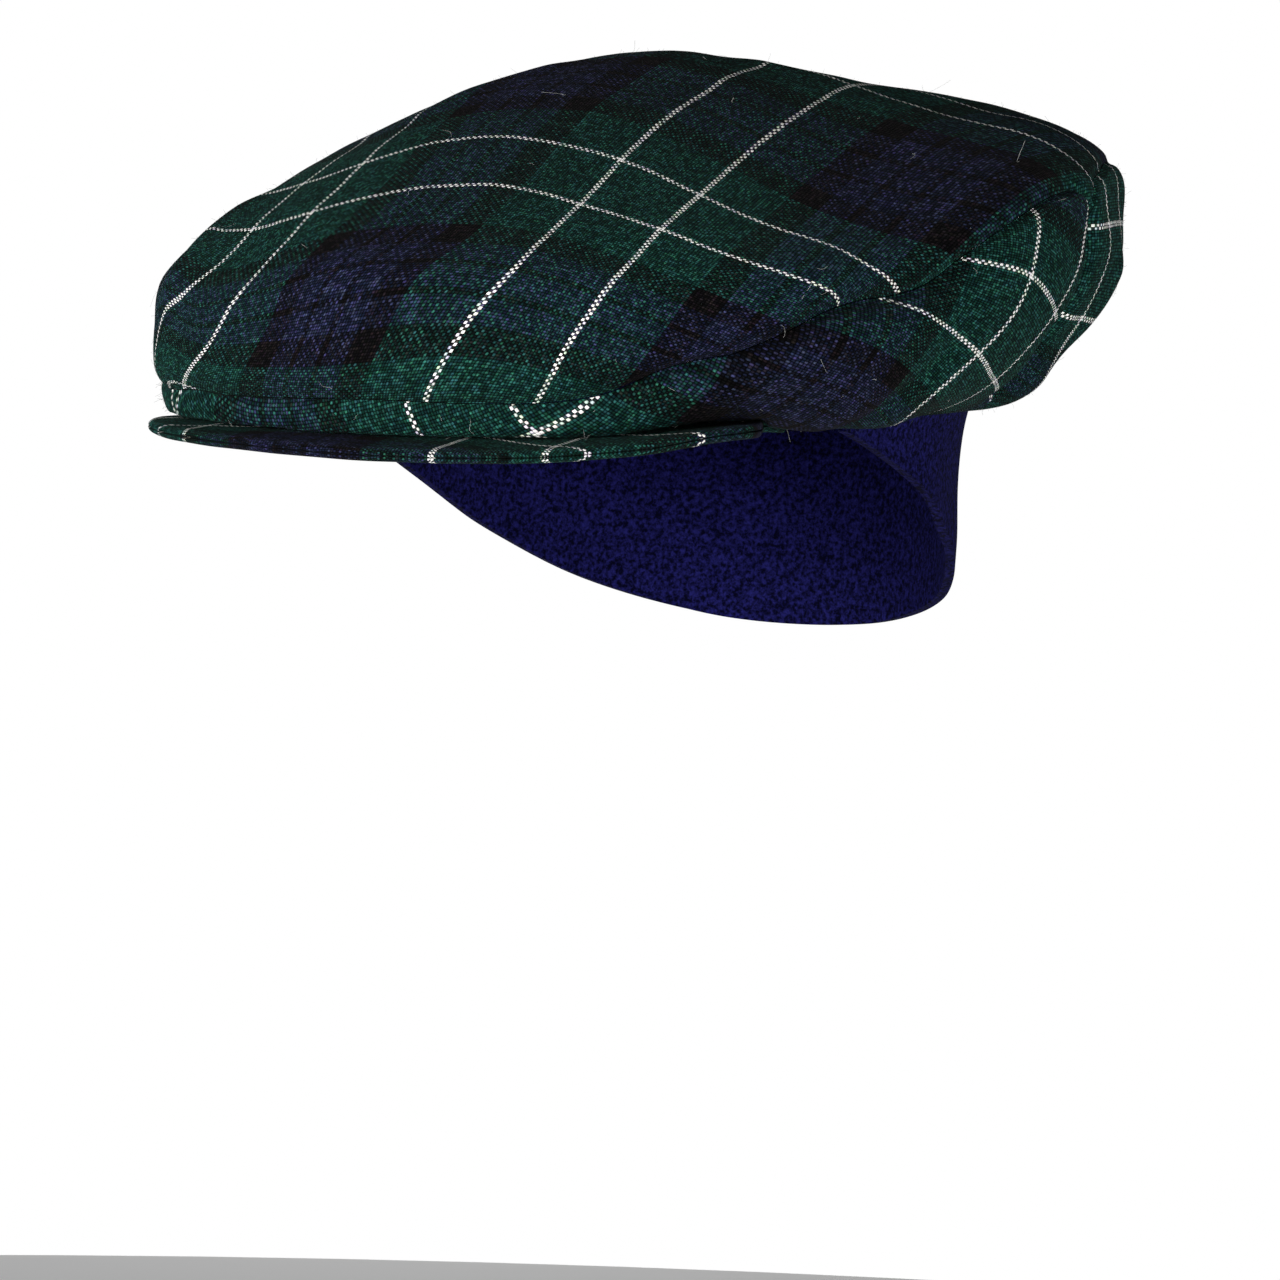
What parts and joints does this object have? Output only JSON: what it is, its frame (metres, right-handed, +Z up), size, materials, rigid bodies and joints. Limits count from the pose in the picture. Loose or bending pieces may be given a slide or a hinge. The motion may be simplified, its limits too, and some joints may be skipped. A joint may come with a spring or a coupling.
{
  "type": "flat cap",
  "caption": "Worn tartan wool flat cap with a full crown, a stiff curved peak and a soft navy flap that hangs below the rim round the ears and the nape.",
  "frame": {"origin": "middle of the head opening, level with the rim at the front, where the head holds the cap", "axes": "the wearer faces -Y, the wearer's left is +X, +Z up through the crown"},
  "size_m": [0.2433, 0.2956, 0.15],
  "materials": {
    "tartan_wool": "plain woven wool, matt and slightly hairy",
    "navy_fleece": "soft brushed fleece, matt"
  },
  "bodies": {
    "root": {"crown_top_panel": "tartan_wool", "crown_front_panel": "tartan_wool", "crown_back_panel": "tartan_wool", "peak_upper": "tartan_wool", "peak_under": "tartan_wool", "ear_flap": "navy_fleece"}
  },
  "joints": []
}
